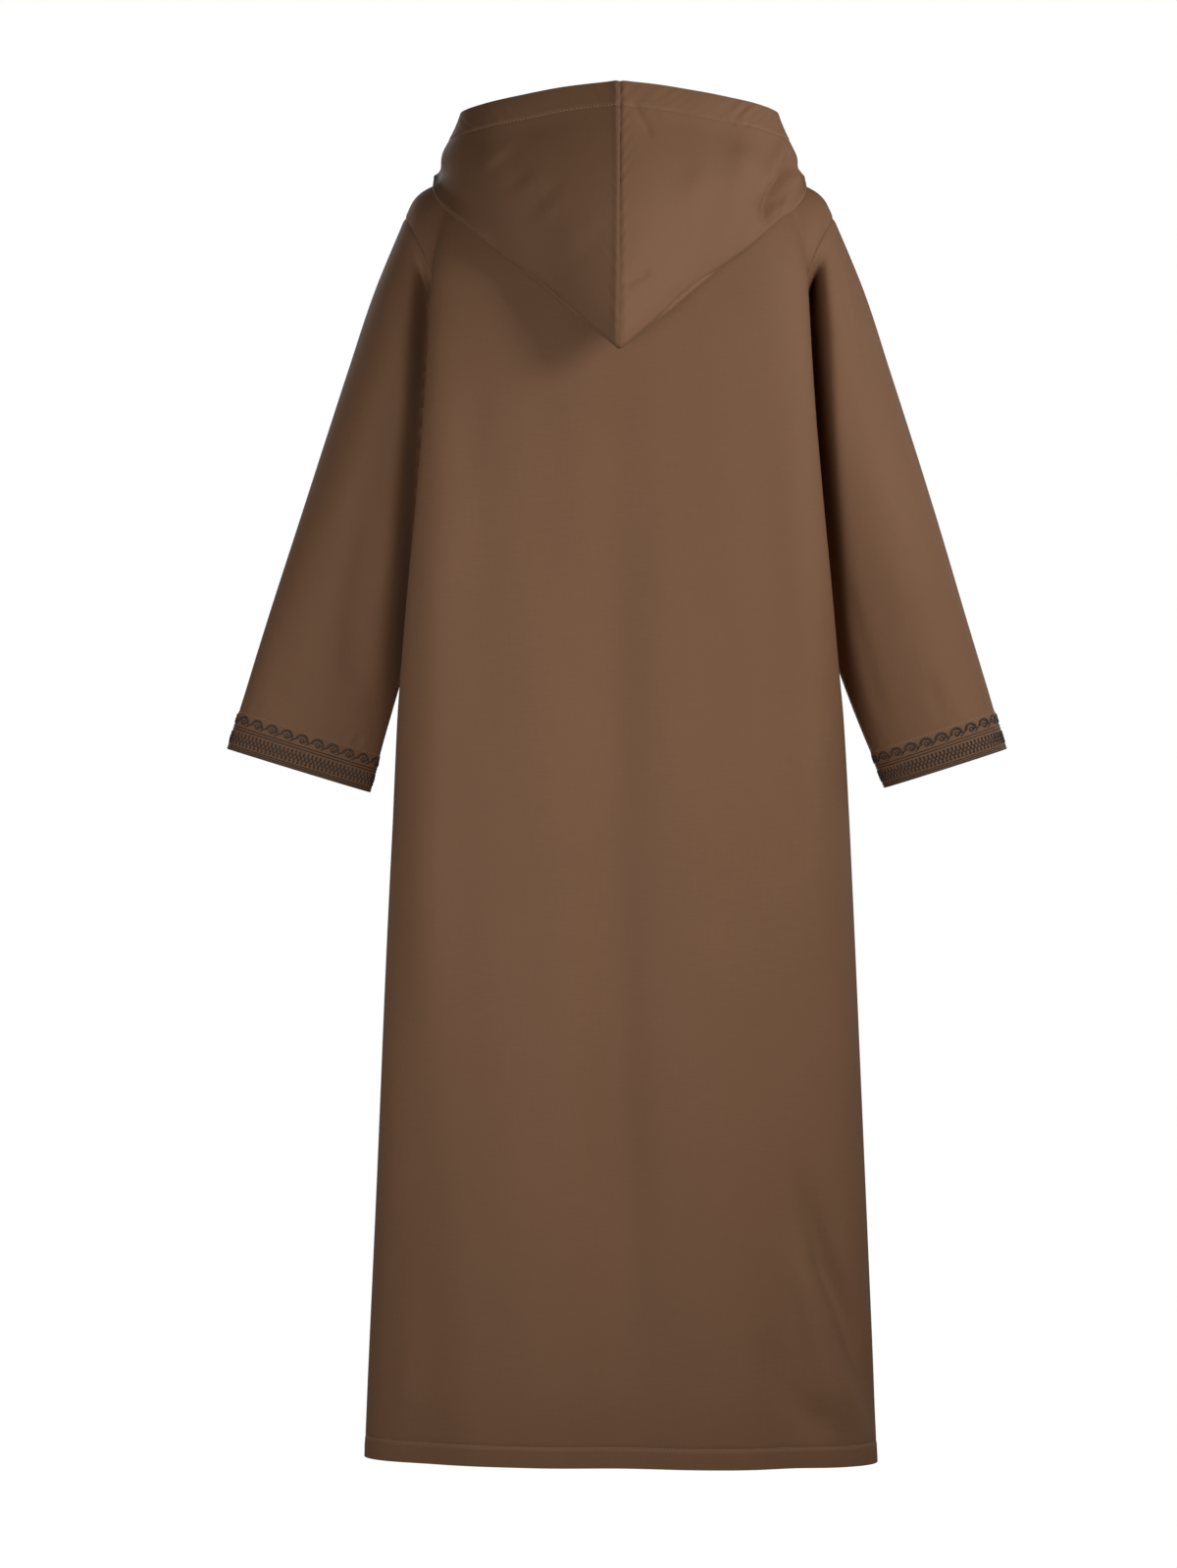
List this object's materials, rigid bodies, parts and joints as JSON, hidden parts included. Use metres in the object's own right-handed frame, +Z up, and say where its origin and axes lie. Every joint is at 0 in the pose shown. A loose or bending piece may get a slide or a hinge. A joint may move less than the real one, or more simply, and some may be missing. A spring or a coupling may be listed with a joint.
{
  "type": "hooded djellaba robe, worn shape with no wearer",
  "caption": "Long plain hooded robe with straight sleeves and embroidered cuffs, filled out as if worn, with its hood down the back.",
  "frame": {"origin": "midway between the two high points of the shoulders, beside the neck, where the robe hangs from its wearer or stand", "axes": "+Z up; the wearer would face -Y, so the hood lies on +Y; +X is the wearer's left"},
  "size_m": [0.8487, 0.3127, 1.4701],
  "materials": {
    "back_panel": "brown plain-woven cloth",
    "front_panel": "brown plain-woven cloth",
    "sleeve_left": "brown plain-woven cloth",
    "sleeve_right": "brown plain-woven cloth",
    "hood_left": "brown plain-woven cloth",
    "hood_right": "brown plain-woven cloth",
    "cuff_band_left": "cloth covered in dark corded embroidery",
    "cuff_band_right": "cloth covered in dark corded embroidery"
  },
  "bodies": {
    "root": {"back_panel": "back_panel", "front_panel": "front_panel", "sleeve_left": "sleeve_left", "sleeve_right": "sleeve_right", "hood_left": "hood_left", "hood_right": "hood_right", "cuff_band_left": "cuff_band_left", "cuff_band_right": "cuff_band_right"}
  },
  "joints": []
}
